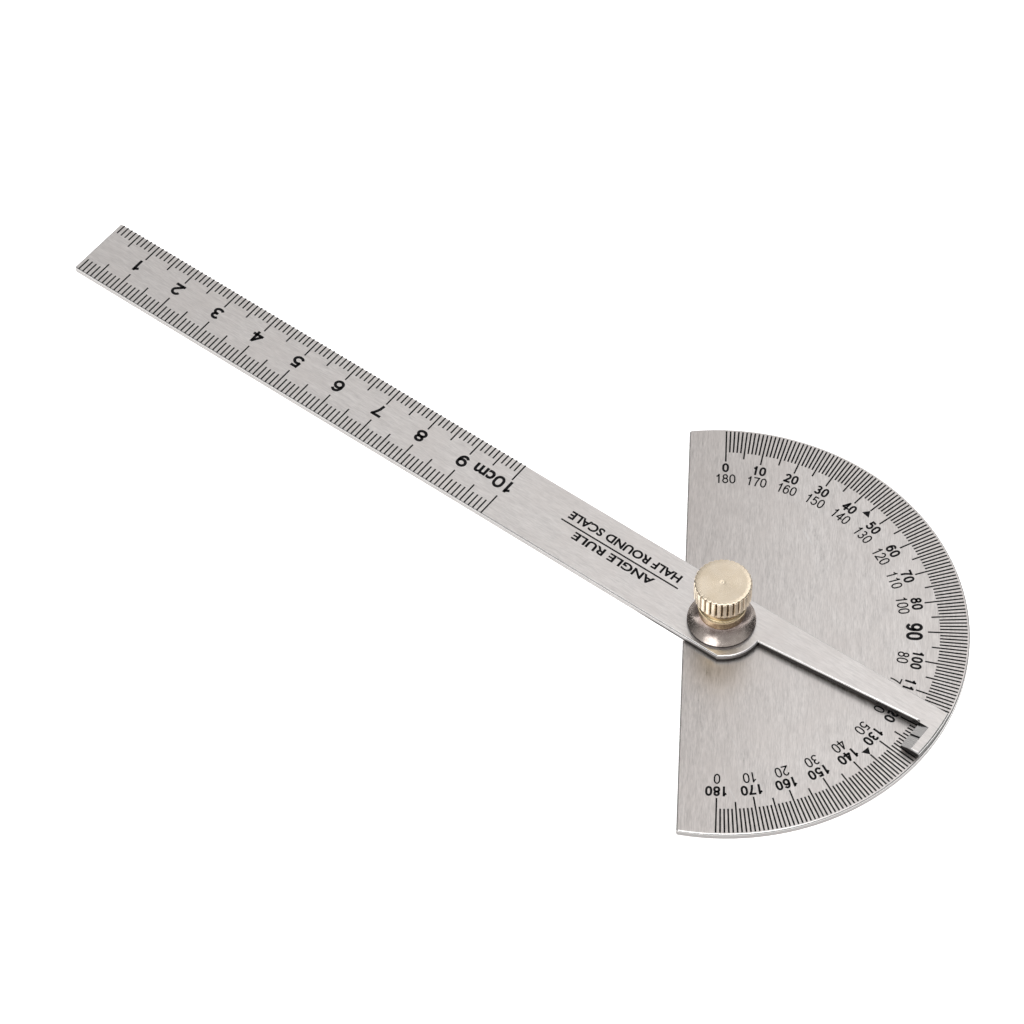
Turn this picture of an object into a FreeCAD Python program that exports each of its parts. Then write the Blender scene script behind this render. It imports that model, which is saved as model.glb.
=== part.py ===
import FreeCAD, Part
import Sketcher
import math
import os

# Protractor with a swinging rule arm: a half-round graduated plate, an arm that is a rule on one
# side of the pivot and a hooked pointer on the other, and a screw, washers and a knurled thumb nut
# that clamp the arm at any angle. Millimetres and degrees.
#
# Frame: the origin is on the pivot axis, on the lowest face (the underside of the screw's head).
# +Z is up out of the graduated face, +X runs to the 90 degree mark and +Y to the 0 degree mark.

SIZES = {
    # half-round plate
    "plate_radius": 45.25,
    "plate_thickness": 1.2,
    "base_setback": 7.0,         # straight base edge behind the pivot
    "plate_corner_round": 0.6,
    "rolled_edge": 0.35,         # rounding that stamping leaves on a sheet's upper edges
    # rule arm, in its own axes: +X from the pivot to the pointer's tip
    "arm_reading": 124.37,       # angle shown on the plate's scale
    "arm_thickness": 1.2,
    "rule_reach": 150.0,         # pivot to the rule's free end
    "rule_half_width": 7.0,
    "rule_corner_round": 0.45,
    "boss_radius": 8.1,
    "pointer_root": 0.1,         # pointer's lower edge at the boss
    "pointer_neck": 3.0,         # the same edge at the hook
    "pointer_flare_start": 10.0,
    "pointer_tip_height": 7.5,
    "hook_inner": 41.3,
    "hook_depth": 3.0,
    "hook_corner_round": 0.5,
    "pointer_lift": 0.9,         # upward set of the pointer, in degrees
    "trim_reach": 50.0,          # beyond the pointer's tip
    "bevel_width": 2.1,
    "bevel_depth": 0.65,
    "bevel_start": 2.75,
    # clamp screw and spacer
    "head_diameter": 9.0,
    "head_height": 0.9,
    "head_chamfer": 0.3,
    "neck_square": 4.4,
    "shank_diameter": 4.0,
    "shank_top": 13.0,
    "shank_chamfer": 0.4,
    "running_clearance": 0.05,
    "spacer_diameter": 10.0,
    "spacer_thickness": 0.2,
    # cup washer
    "cup_diameter": 12.6,
    "cup_seat_diameter": 8.5,
    "cup_bore": 4.2,
    "cup_height": 3.0,
    "cup_sheet": 0.6,
    "cup_flare_radius": 7.0,
    # thumb nut
    "nut_foot_diameter": 8.4,
    "nut_flange_diameter": 9.0,
    "nut_flange_low": 1.9,
    "nut_flange_high": 2.4,
    "nut_groove_height": 2.55,
    "nut_shoulder_diameter": 9.9,
    "nut_shoulder_height": 4.75,
    "nut_knurl_diameter": 10.5,
    "nut_knurl_low": 5.0,
    "nut_height": 8.8,
    "nut_chamfer": 0.22,
    "nut_bore_depth": 7.0,
    "nut_bore_tip": 1.0,
    "flute_count": 30,
    "flute_depth": 0.32,
    "flute_half_width": 0.25,
}

doc = FreeCAD.newDocument("Protractor")
ORIGIN = -1                      # Sketcher's number for the root point and the horizontal axis
VERTICAL_AXIS = -2


def make_sheet():
    """Put every driving dimension into a spreadsheet cell with an alias."""
    sheet = doc.addObject("Spreadsheet::Sheet", "Sizes")
    for row, (name, value) in enumerate(SIZES.items(), start=1):
        sheet.set(f"A{row}", name)
        sheet.set(f"B{row}", str(value))
        sheet.setAlias(f"B{row}", name)
    doc.recompute()
    return sheet


def at(**terms):
    """A coordinate as a sum of sheet values, each times a factor: its number and its expression."""
    number = sum(factor * SIZES[name] for name, factor in terms.items())
    words = " + ".join(f"({factor}) * Sizes.{name}" for name, factor in terms.items())
    return number, words


def free(number):
    """A coordinate that the sketch's other constraints settle."""
    return number, None


def new_body(label):
    body = doc.addObject("PartDesign::Body", "Body_" + label)
    body.Label = label
    return body


def new_sketch(body, name, plane="XY_Plane"):
    """A sketch on one of its body's own origin planes."""
    sketch = body.newObject("Sketcher::SketchObject", name)
    support = next(item for item in body.Origin.OriginFeatures if item.Role == plane)
    sketch.AttachmentSupport = [(support, "")]
    sketch.MapMode = "FlatFace"
    return sketch


def pin_vertex(sketch, edge, end, vertex):
    """Tie one end of an edge to its two coordinates."""
    for direction, axis, (number, words) in zip("XY", (VERTICAL_AXIS, ORIGIN), vertex):
        if words is None:
            continue
        if words == "":
            sketch.addConstraint(Sketcher.Constraint("PointOnObject", edge, end, axis))
            continue
        pinned = sketch.addConstraint(
            Sketcher.Constraint("Distance" + direction, ORIGIN, 1, edge, end, number))
        sketch.setExpression(f"Constraints[{pinned}]", words)


def draw_outline(sketch, vertices, arcs=None):
    """Close a loop through the vertices. arcs gives the radius of each edge that is a round
    stretch about the sketch's origin, counter-clockwise, by the number of its first vertex."""
    arcs = arcs or {}
    count = len(vertices)
    for index, (start, end) in enumerate(zip(vertices, vertices[1:] + vertices[:1])):
        first = FreeCAD.Vector(start[0][0], start[1][0], 0)
        last = FreeCAD.Vector(end[0][0], end[1][0], 0)
        if index in arcs:
            circle = Part.Circle(FreeCAD.Vector(0, 0, 0), FreeCAD.Vector(0, 0, 1), arcs[index][0])
            turn = [math.atan2(point.y, point.x) for point in (first, last)]
            sketch.addGeometry(Part.ArcOfCircle(circle, turn[0], turn[1]), False)
        else:
            sketch.addGeometry(Part.LineSegment(first, last), False)
    for index in range(count):
        following = (index + 1) % count
        sketch.addConstraint(Sketcher.Constraint("Coincident", index, 2, following, 1))
    for index, radius in arcs.items():
        sketch.addConstraint(Sketcher.Constraint("Coincident", index, 3, ORIGIN, 1))
        sized = sketch.addConstraint(Sketcher.Constraint("Radius", index, radius[0]))
        sketch.setExpression(f"Constraints[{sized}]", radius[1])
    for index, vertex in enumerate(vertices):
        pin_vertex(sketch, index, 1, vertex)


def draw_circle(sketch, radius):
    sketch.addGeometry(
        Part.Circle(FreeCAD.Vector(0, 0, 0), FreeCAD.Vector(0, 0, 1), radius[0]), False)
    sketch.addConstraint(Sketcher.Constraint("Coincident", 0, 3, ORIGIN, 1))
    sized = sketch.addConstraint(Sketcher.Constraint("Radius", 0, radius[0]))
    sketch.setExpression(f"Constraints[{sized}]", radius[1])


def pad(body, sketch, length):
    feature = body.newObject("PartDesign::Pad", sketch.Name + "Pad")
    feature.Profile = sketch
    feature.setExpression("Length", length[1])
    doc.recompute()
    return feature


def cut_through(body, sketch):
    """Cut the sketch's area both ways, and make sure that it took something away."""
    before = body.Shape.Volume
    feature = body.newObject("PartDesign::Pocket", sketch.Name + "Cut")
    feature.Profile = sketch
    feature.Type = "ThroughAll"
    feature.SideType = "Symmetric"
    doc.recompute()
    check_less(body, before, feature.Name)
    return feature


def check_less(body, before, name):
    if not body.Shape.Volume < before:
        raise RuntimeError(f"{name} cuts nothing")


def revolve(body, sketch):
    feature = body.newObject("PartDesign::Revolution", sketch.Name + "Turned")
    feature.Profile = sketch
    feature.ReferenceAxis = (sketch, ["V_Axis"])
    feature.Angle = 360.0
    doc.recompute()
    return feature


def round_edges(body, base, test, radius, name):
    """Fillet the edges of the last feature that the test picks."""
    picked = [f"Edge{number}" for number, edge in enumerate(base.Shape.Edges, start=1) if test(edge)]
    feature = body.newObject("PartDesign::Fillet", name)
    feature.Base = (base, picked)
    feature.setExpression("Radius", radius[1])
    doc.recompute()
    return feature


def chamfer_edges(body, base, test, width, name):
    picked = [f"Edge{number}" for number, edge in enumerate(base.Shape.Edges, start=1) if test(edge)]
    feature = body.newObject("PartDesign::Chamfer", name)
    feature.Base = (base, picked)
    feature.setExpression("Size", width[1])
    doc.recompute()
    return feature


def is_upright(edge):
    low, high = edge.BoundBox.ZMin, edge.BoundBox.ZMax
    flat = max(edge.BoundBox.XLength, edge.BoundBox.YLength)
    return high - low > 0.1 and flat < 1e-4


def raise_body(body, turn=None, **levels):
    """Put a body's own origin at a height, and turn it about the pivot."""
    body.setExpression(".Placement.Base.z", at(**levels)[1])
    if turn:
        body.setExpression(".Placement.Rotation.Angle", turn)


ZERO = (0.0, "")


def make_plate():
    body = new_body("plate")
    outline = new_sketch(body, "PlateOutline")
    corner = math.sqrt(SIZES["plate_radius"] ** 2 - SIZES["base_setback"] ** 2)
    behind = at(base_setback=-1)
    draw_outline(
        outline,
        [(behind, free(-corner)), (behind, free(corner))],
        arcs={0: at(plate_radius=1)})
    blank = pad(body, outline, at(plate_thickness=1))
    rounded = round_edges(
        body, blank, is_upright, at(plate_corner_round=1), "PlateCorners")
    top = SIZES["plate_thickness"]

    def on_upper_edge(edge):
        return abs(edge.BoundBox.ZMin - top) < 1e-4

    round_edges(body, rounded, on_upper_edge, at(rolled_edge=1), "PlateRolledEdge")
    draw_square(new_sketch(body, "PlateNeckHole"), body)
    raise_body(body, head_height=1)
    return body


def draw_square(sketch, body):
    """Cut the square hole that keeps the screw from turning."""
    low = at(neck_square=-0.5)
    high = at(neck_square=0.5)
    draw_outline(sketch, [(low, low), (high, low), (high, high), (low, high)])
    cut_through(body, sketch)


def make_screw():
    body = new_body("clamp_screw")
    head = new_sketch(body, "ScrewHead")
    draw_circle(head, at(head_diameter=0.5))
    disc = pad(body, head, at(head_height=1))

    def at_bottom(edge):
        return edge.BoundBox.ZMax < 1e-4 and edge.Length > math.pi * SIZES["shank_diameter"]

    chamfer_edges(body, disc, at_bottom, at(head_chamfer=1), "ScrewHeadChamfer")
    neck = new_sketch(body, "ScrewNeck")
    low = at(neck_square=-0.5)
    high = at(neck_square=0.5)
    draw_outline(neck, [(low, low), (high, low), (high, high), (low, high)])
    pad(body, neck, at(head_height=1, plate_thickness=1))
    shank = new_sketch(body, "ScrewShank")
    draw_circle(shank, at(shank_diameter=0.5))
    rod = pad(body, shank, at(shank_top=1))

    def at_tip(edge):
        return edge.BoundBox.ZMin > SIZES["shank_top"] - 1e-4

    chamfer_edges(body, rod, at_tip, at(shank_chamfer=1), "ScrewTip")
    return body


def make_spacer():
    """A flat ring that keeps the arm clear of the plate's scale."""
    ring = doc.addObject("Part::Cylinder", "SpacerDisc")
    ring.setExpression("Radius", at(spacer_diameter=0.5)[1])
    ring.setExpression("Height", at(spacer_thickness=1)[1])
    hole = doc.addObject("Part::Cylinder", "SpacerHole")
    hole.setExpression("Radius", at(shank_diameter=0.5, running_clearance=2)[1])
    hole.setExpression("Height", at(spacer_thickness=1)[1])
    spacer = doc.addObject("Part::Cut", "Spacer")
    spacer.Label = "spacer_washer"
    spacer.Base = ring
    spacer.Tool = hole
    raise_body(spacer, head_height=1, plate_thickness=1)
    return spacer


def make_arm():
    body = new_body("rule_arm")
    blank = pad_arm_outline(body)
    corners = round_edges(
        body, blank, is_free_corner, at(rule_corner_round=1), "RuleCorners")
    round_edges(body, corners, is_hook_corner, at(hook_corner_round=1), "HookCorner")
    trim_to_sheet(body)
    bevel_hook(body)
    hole = new_sketch(body, "ArmPivotHole")
    draw_circle(hole, at(shank_diameter=0.5, running_clearance=1))
    drilled = cut_through(body, hole)
    round_edges(body, drilled, is_arm_rolled_edge, at(rolled_edge=1), "ArmRolledEdge")
    raise_body(
        body, turn="90 - Sizes.arm_reading",
        head_height=1, plate_thickness=1, spacer_thickness=1)
    return body


def pad_arm_outline(body):
    """Pad the arm's plan shape thicker than the sheet, so that its side shape can be trimmed."""
    outline = new_sketch(body, "ArmOutline")
    half = SIZES["rule_half_width"]
    boss_start = math.sqrt(SIZES["boss_radius"] ** 2 - half ** 2)
    tip_low = math.sqrt(SIZES["plate_radius"] ** 2 - SIZES["hook_depth"] ** 2)
    tip_high = math.sqrt(SIZES["plate_radius"] ** 2 - SIZES["pointer_tip_height"] ** 2)
    below = at(rule_half_width=-1)
    vertices = [
        (at(rule_reach=-1), at(rule_half_width=1)),
        (at(rule_reach=-1), below),
        (free(boss_start), below),
        (free(SIZES["boss_radius"]), at(pointer_root=1)),
        (at(hook_inner=1), at(pointer_neck=1)),
        (at(hook_inner=1), at(hook_depth=-1)),
        (free(tip_low), at(hook_depth=-1)),
        (free(tip_high), at(pointer_tip_height=1)),
        (at(pointer_flare_start=-1), at(rule_half_width=1)),
    ]
    draw_outline(outline, vertices, arcs={2: at(boss_radius=1), 6: at(plate_radius=1)})
    return pad(body, outline, at(arm_thickness=2))


def is_free_corner(edge):
    return is_upright(edge) and edge.BoundBox.XMax < -SIZES["rule_reach"] + 1e-3


def is_hook_corner(edge):
    inner = abs(edge.BoundBox.XMin - SIZES["hook_inner"]) < 1e-3
    return is_upright(edge) and inner and edge.BoundBox.YMin > 0


def lifted(reach):
    """Height that the pointer's set gives at a distance from the pivot: a number and its words."""
    number = (reach - SIZES["boss_radius"]) * math.tan(math.radians(SIZES["pointer_lift"]))
    words = f"({reach} - Sizes.boss_radius) * tan(Sizes.pointer_lift)"
    return number, words


def trim_to_sheet(body):
    """Leave one sheet thickness: flat as far as the boss, then set up slightly to the tip."""
    rise, rise_words = lifted(SIZES["trim_reach"])
    sheet_top = at(arm_thickness=1)
    above = at(arm_thickness=4)
    behind = at(rule_reach=-2)
    ahead = at(trim_reach=1)
    bend = at(boss_radius=1)
    upper = new_sketch(body, "ArmAboveSheet", "XZ_Plane")
    draw_outline(upper, [
        (behind, sheet_top), (bend, sheet_top),
        (ahead, (sheet_top[0] + rise, sheet_top[1] + " + " + rise_words)),
        (ahead, above), (behind, above)])
    cut_through(body, upper)
    lower = new_sketch(body, "ArmBelowPointer", "XZ_Plane")
    under = at(arm_thickness=-1)
    draw_outline(lower, [(bend, ZERO), (bend, under), (ahead, under), (ahead, (rise, rise_words))])
    cut_through(body, lower)


def bevel_hook(body):
    """Thin the hook's inner side, so that the index line lies close over the scale."""
    before = body.Shape.Volume
    edge_reach = SIZES["hook_inner"]
    top_reach = edge_reach + SIZES["bevel_width"]
    start = at(hook_inner=1)
    end = at(hook_inner=1, bevel_width=1)
    low_rise, low_words = lifted(edge_reach)
    high_rise, high_words = lifted(top_reach)
    sheet, sheet_words = at(arm_thickness=1)
    depth, depth_words = at(bevel_depth=1)
    side = new_sketch(body, "HookBevelSide", "XZ_Plane")
    above = at(arm_thickness=3)
    draw_outline(side, [
        (start, (sheet + low_rise - depth, f"{sheet_words} + {low_words} - {depth_words}")),
        (end, (sheet + high_rise, f"{sheet_words} + {high_words}")),
        (end, above),
        (start, above)])
    feature = body.newObject("PartDesign::Pocket", "HookBevel")
    feature.Profile = side
    feature.SideType = "Two sides"
    feature.setExpression("Length", "Sizes.bevel_start")
    feature.setExpression("Length2", "Sizes.hook_depth + Sizes.arm_thickness")
    doc.recompute()
    check_less(body, before, "HookBevel")


def is_arm_rolled_edge(edge):
    """Upper outline edges, apart from those of the pivot hole and around the bevel."""
    box = edge.BoundBox
    hole = box.XMax < SIZES["shank_diameter"] and box.XMin > -SIZES["shank_diameter"]
    by_bevel = box.XMin > SIZES["hook_inner"] - 0.01 and box.XMax < (
        SIZES["hook_inner"] + SIZES["bevel_width"] + 0.01)
    if hole or by_bevel or is_upright(edge):
        return False
    middle = 0.5 * (box.XMin + box.XMax)
    rise = max(0.0, lifted(middle)[0])
    return abs(0.5 * (box.ZMin + box.ZMax) - SIZES["arm_thickness"] - rise) < 0.02


def make_cup_washer():
    """A washer pressed from sheet: a flat seat that flares out and down to a thin rim."""
    body = new_body("cup_washer")
    sketch = new_sketch(body, "CupSection", "XZ_Plane")
    bore = SIZES["cup_bore"] / 2
    seat = SIZES["cup_seat_diameter"] / 2
    rim = SIZES["cup_diameter"] / 2
    high = SIZES["cup_height"]
    sheet = SIZES["cup_sheet"]
    flare = SIZES["cup_flare_radius"]
    centre = flare_centre((seat, high), (rim, sheet), flare)
    inner = flare + sheet
    rim_foot = centre.x - math.sqrt(inner ** 2 - centre.y ** 2)
    seat_under = centre.x - math.sqrt(inner ** 2 - (centre.y - (high - sheet)) ** 2)
    points = [(bore, high), (seat, high), (rim, sheet), (rim, 0.0), (rim_foot, 0.0),
              (seat_under, high - sheet), (bore, high - sheet)]
    for index, (start, end) in enumerate(zip(points, points[1:] + points[:1])):
        if index in (1, 4):
            radius = flare if index == 1 else inner
            circle = Part.Circle(centre, FreeCAD.Vector(0, 0, 1), radius)
            turns = sorted(math.atan2(y - centre.y, x - centre.x) % (2 * math.pi)
                           for x, y in (start, end))
            sketch.addGeometry(Part.ArcOfCircle(circle, turns[0], turns[1]), False)
        else:
            line = Part.LineSegment(FreeCAD.Vector(*start, 0), FreeCAD.Vector(*end, 0))
            sketch.addGeometry(line, False)
    constrain_cup(sketch)
    revolve(body, sketch)
    raise_body(body, head_height=1, plate_thickness=1, spacer_thickness=1, arm_thickness=1)
    return body


def flare_centre(first, last, radius):
    """Centre of the outward-facing arc of that radius from the seat's edge to the rim."""
    start = FreeCAD.Vector(*first, 0)
    chord = FreeCAD.Vector(*last, 0) - start
    reach = math.sqrt(radius ** 2 - (chord.Length / 2) ** 2)
    across = FreeCAD.Vector(-chord.y, chord.x, 0).normalize()
    return start + chord * 0.5 + across * reach


def constrain_cup(sketch):
    """Tie the washer's section: seat 0, flare 1, rim 2, rim's foot 3, inside of the flare 4,
    underside of the seat 5, bore 6. Arc 1 runs from the seat to the rim, arc 4 back again."""
    add = sketch.addConstraint
    joins = [(0, 2, 1, 1), (1, 2, 2, 1), (2, 2, 3, 1), (3, 2, 4, 2), (4, 1, 5, 1), (5, 2, 6, 1),
             (6, 2, 0, 1)]
    for first, first_end, second, second_end in joins:
        add(Sketcher.Constraint("Coincident", first, first_end, second, second_end))
    for flat in (0, 3, 5):
        add(Sketcher.Constraint("Horizontal", flat))
    for upright in (2, 6):
        add(Sketcher.Constraint("Vertical", upright))
    add(Sketcher.Constraint("Coincident", 1, 3, 4, 3))
    for arc, words in ((1, at(cup_flare_radius=1)), (4, at(cup_flare_radius=1, cup_sheet=1))):
        sized = add(Sketcher.Constraint("Radius", arc, words[0]))
        sketch.setExpression(f"Constraints[{sized}]", words[1])
    pin_vertex(sketch, 0, 1, (at(cup_bore=0.5), at(cup_height=1)))
    pin_vertex(sketch, 0, 2, (at(cup_seat_diameter=0.5), (0.0, None)))
    pin_vertex(sketch, 2, 1, (at(cup_diameter=0.5), at(cup_sheet=1)))
    pin_vertex(sketch, 2, 2, ((0.0, None), ZERO))
    pin_vertex(sketch, 5, 2, ((0.0, None), at(cup_height=1, cup_sheet=-1)))


def make_thumb_nut():
    body = new_body("thumb_nut")
    section = new_sketch(body, "NutSection", "XZ_Plane")
    bore = at(shank_diameter=0.5, running_clearance=1)
    foot = at(nut_foot_diameter=0.5)
    flange = at(nut_flange_diameter=0.5)
    knurl = at(nut_knurl_diameter=0.5)
    draw_outline(section, [
        (bore, ZERO),
        (foot, ZERO),
        (flange, at(nut_flange_low=1)),
        (flange, at(nut_flange_high=1)),
        (foot, at(nut_groove_height=1)),
        (at(nut_shoulder_diameter=0.5), at(nut_shoulder_height=1)),
        (knurl, at(nut_knurl_low=1)),
        (knurl, at(nut_height=1, nut_chamfer=-1)),
        (at(nut_knurl_diameter=0.5, nut_chamfer=-1), at(nut_height=1)),
        (ZERO, at(nut_height=1)),
        (ZERO, at(nut_bore_depth=1, nut_bore_tip=1)),
        (bore, at(nut_bore_depth=1))])
    revolve(body, section)
    cut_flutes(body)
    raise_body(
        body, head_height=1, plate_thickness=1, spacer_thickness=1, arm_thickness=1, cup_height=1)
    return body


def cut_flutes(body):
    """Straight V grooves round the head. They are too shallow to reach the flange below."""
    groove = new_sketch(body, "NutFlute")
    bottom = at(nut_knurl_diameter=0.5, flute_depth=-1)
    beyond = at(nut_knurl_diameter=0.5, flute_depth=1)
    draw_outline(groove, [
        (bottom, ZERO),
        (beyond, at(flute_half_width=-2)),
        (beyond, at(flute_half_width=2))])
    first = cut_through(body, groove)
    before = body.Shape.Volume
    flutes = body.newObject("PartDesign::PolarPattern", "NutFlutes")
    flutes.Originals = [first]
    flutes.Axis = (groove, ["N_Axis"])
    flutes.Angle = 360.0
    flutes.setExpression("Occurrences", "Sizes.flute_count")
    body.Tip = flutes
    doc.recompute()
    check_less(body, before, "NutFlutes")


def check_document():
    for item in doc.Objects:
        if "Invalid" in item.State or "Error" in item.State:
            raise RuntimeError(f"{item.Name} failed: {item.State}")


def export_pieces(pieces):
    check_document()
    os.makedirs("parts", exist_ok=True)
    for piece in pieces:
        shape = piece.Shape
        if shape.isNull() or not shape.isValid() or len(shape.Solids) != 1:
            raise RuntimeError(f"{piece.Label} isn't one valid solid")
    for piece in pieces:
        piece.Shape.exportStep(os.path.join("parts", piece.Label + ".step"))
        print(f"{piece.Label}: {piece.Shape.Volume:.1f} cubic mm")


make_sheet()
PIECES = [make_plate(), make_screw(), make_spacer(), make_arm(), make_cup_washer(), make_thumb_nut()]
doc.recompute()
export_pieces(PIECES)
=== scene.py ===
"""A half-round protractor with a swinging rule arm: finished steel and pale brass, filled scales
and numbers, and a turned and knurled thumb nut over a pressed cup washer.

Lengths are in millimetres and angles in degrees until they reach a mesh, which is in metres.
The pivot is the Z axis. +X runs to the plate's 90 degree mark and +Y to its 0 degree mark.
"""

import math

import bmesh
import bpy
from mathutils import Matrix, Vector


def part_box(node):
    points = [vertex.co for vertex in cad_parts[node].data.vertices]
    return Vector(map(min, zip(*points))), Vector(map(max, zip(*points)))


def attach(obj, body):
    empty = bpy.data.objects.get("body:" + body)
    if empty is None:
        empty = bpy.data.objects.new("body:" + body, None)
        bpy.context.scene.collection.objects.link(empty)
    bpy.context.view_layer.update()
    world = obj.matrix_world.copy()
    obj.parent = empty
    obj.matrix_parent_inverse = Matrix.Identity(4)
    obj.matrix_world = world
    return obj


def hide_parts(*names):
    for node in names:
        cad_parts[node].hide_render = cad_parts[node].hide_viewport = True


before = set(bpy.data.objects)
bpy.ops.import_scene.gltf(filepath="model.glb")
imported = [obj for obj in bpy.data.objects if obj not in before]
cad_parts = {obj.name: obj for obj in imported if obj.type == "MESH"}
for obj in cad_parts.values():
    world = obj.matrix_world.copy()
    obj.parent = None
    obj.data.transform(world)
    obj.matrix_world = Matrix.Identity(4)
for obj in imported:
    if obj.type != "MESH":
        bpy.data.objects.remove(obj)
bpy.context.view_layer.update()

MM = 0.001

# ---------------------------------------------------------------- heights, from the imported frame

PLATE_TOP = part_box("plate")[1].z / MM
ARM_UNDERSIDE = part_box("rule_arm")[0].z / MM
WASHER_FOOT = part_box("cup_washer")[0].z / MM
NUT_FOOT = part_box("thumb_nut")[0].z / MM
NUT_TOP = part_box("thumb_nut")[1].z / MM

# ---------------------------------------------------------------- the arm and its marks

ARM_READING = 124.37            # degrees on the plate's scale
ARM_THICKNESS = 1.2
ARM_TOP = ARM_UNDERSIDE + ARM_THICKNESS
RULE_REACH = 150.0              # pivot to the rule's free end, where its scale starts
BOSS_RADIUS = 8.1
POINTER_LIFT = 0.9              # degrees, from the boss outwards
HOOK_INNER = 41.3
BEVEL_WIDTH = 2.1
BEVEL_DEPTH = 0.65

# The arm's cut sides are darkened as painted shade where they stand over the plate: low on the
# boss, all over on the pointer.
SIDE_SHADE_FULL_BELOW = 2.6                # heights between which the painted shade on the boss's side fades out
SIDE_SHADE_CLEAR_ABOVE = 2.9
BOSS_SIDE_SHADE_SPAN = (-15.0, -10.0)   # distances along the arm over which the painted shade on its side sets in
POINTER_SIDE_SHADE_SPAN = (6.0, 8.0)

INK_HALF = 0.012                # a filled mark stands this far out of the steel, and as far in

# ---------------------------------------------------------------- small helpers


def deselect_all():
    if bpy.context.object and bpy.context.object.mode != "OBJECT":
        bpy.ops.object.mode_set(mode="OBJECT")
    bpy.ops.object.select_all(action="DESELECT")


def active_piece(name):
    """The object that the last operator made, with its place moved into its mesh."""
    piece = bpy.context.object
    piece.name = name
    piece.data.name = name
    piece.data.transform(piece.matrix_basis)
    piece.matrix_basis = Matrix.Identity(4)
    return piece


def edit(piece):
    deselect_all()
    piece.select_set(True)
    bpy.context.view_layer.objects.active = piece
    bpy.ops.object.mode_set(mode="EDIT")
    bpy.ops.mesh.select_mode(type="VERT")
    bpy.ops.mesh.select_all(action="DESELECT")


def select_where(piece, test):
    """Select the vertices of the piece in edit mode that the test picks, by their place in mm."""
    shape = bmesh.from_edit_mesh(piece.data)
    for vertex in shape.verts:
        vertex.select = test(vertex.co / MM)
    shape.select_flush_mode()
    bmesh.update_edit_mesh(piece.data)


def leave_edit():
    bpy.ops.object.mode_set(mode="OBJECT")


def copied(piece, name, matrix):
    """A copy with its own mesh, moved by the matrix in the mesh."""
    twin = piece.copy()
    twin.data = piece.data.copy()
    twin.name = name
    twin.data.transform(matrix)
    bpy.context.scene.collection.objects.link(twin)
    return twin


def discard(*pieces):
    for piece in pieces:
        bpy.data.meshes.remove(piece.data)


def joined(pieces, name):
    deselect_all()
    for piece in pieces:
        piece.select_set(True)
    bpy.context.view_layer.objects.active = pieces[0]
    bpy.ops.object.join()
    return active_piece(name)


def shift(x, y, z=0.0):
    return Matrix.Translation(Vector((x, y, z)) * MM)


def turned(angle):
    return Matrix.Rotation(math.radians(angle), 4, "Z")


def smooth(piece, angle=30.0):
    deselect_all()
    piece.select_set(True)
    bpy.context.view_layer.objects.active = piece
    bpy.ops.object.shade_smooth_by_angle(angle=math.radians(angle))


def finish_piece(piece, material, body, slot, *stands_for):
    piece.data.materials.clear()
    piece.data.materials.append(material)
    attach(piece, body)
    if stands_for:
        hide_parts(*stands_for)
    return piece


# ---------------------------------------------------------------- finishes


class Finish:
    """A material whose nodes are added one by one and read the piece's own coordinates."""

    def __init__(self, name, **sockets):
        self.material = bpy.data.materials.new(name)
        self.material.use_nodes = True
        self.tree = self.material.node_tree
        self.shader = self.tree.nodes["Principled BSDF"]
        for socket, value in sockets.items():
            self.shader.inputs[socket.replace("_", " ")].default_value = value
        self.place = self.add("ShaderNodeTexCoord").outputs["Object"]
        self.normal = self.add("ShaderNodeNewGeometry").outputs["Normal"]

    def add(self, kind, inputs=None, **settings):
        node = self.tree.nodes.new(kind)
        for name, value in settings.items():
            setattr(node, name, value)
        for name, value in (inputs or {}).items():
            self.feed(node.inputs[name], value)
        return node

    def feed(self, socket, value):
        if isinstance(value, bpy.types.NodeSocket):
            self.tree.links.new(value, socket)
        else:
            socket.default_value = value

    def drive(self, socket, value):
        """Link a result to one of the shader's own sockets."""
        self.tree.links.new(value, self.shader.inputs[socket])

    def turned_place(self, angle, size=(1.0, 1.0, 1.0)):
        """The place read along axes that are turned about Z and measured in those sizes."""
        return self.add("ShaderNodeMapping", {
            "Vector": self.place, "Rotation": (0, 0, math.radians(angle)), "Scale": size},
            vector_type="TEXTURE").outputs["Vector"]

    def noise(self, per_metre, detail=2.0, turn=0.0, roughness=0.5):
        """Noise with its own frequency along each axis, turned about Z: a value about one half."""
        place = self.turned_place(turn, [1 / frequency for frequency in per_metre])
        return self.add("ShaderNodeTexNoise", {
            "Vector": place, "Scale": 1.0, "Detail": detail,
            "Roughness": roughness}).outputs["Fac"]

    def span(self, value, low, high, to_low=0.0, to_high=1.0):
        """The value stretched from one range to another, and held inside it."""
        return self.add("ShaderNodeMapRange", {
            "Value": value, "From Min": low, "From Max": high,
            "To Min": to_low, "To Max": to_high}).outputs["Result"]

    def maths(self, operation, first, second=0.0):
        return self.add(
            "ShaderNodeMath", {0: first, 1: second}, operation=operation).outputs["Value"]

    def mix(self, share, first, second, blend_type="MIX"):
        node = self.add("ShaderNodeMix", data_type="RGBA", blend_type=blend_type)
        self.feed(node.inputs["Factor"], share)
        for socket, value in zip(node.inputs[6:8], (first, second)):
            self.feed(socket, value)
        return node.outputs[2]

    def split(self, vector):
        return self.add("ShaderNodeSeparateXYZ", {"Vector": vector}).outputs

    def radius(self):
        """Distance from the pivot axis in metres."""
        parts = self.split(self.place)
        flat = self.add("ShaderNodeCombineXYZ", {"X": parts["X"], "Y": parts["Y"]})
        length = self.add(
            "ShaderNodeVectorMath", {0: flat.outputs["Vector"]}, operation="LENGTH")
        return length.outputs["Value"]

    def bump(self, height, strength, depth_mm, under=None):
        node = self.add("ShaderNodeBump", {
            "Height": height, "Strength": strength, "Distance": depth_mm * MM})
        if under:
            self.feed(node.inputs["Normal"], under)
        return node.outputs["Normal"]


def grey(value, warmth=0.0):
    return (value * (1 + warmth), value, value * (1 - warmth / 2), 1.0)


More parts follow.
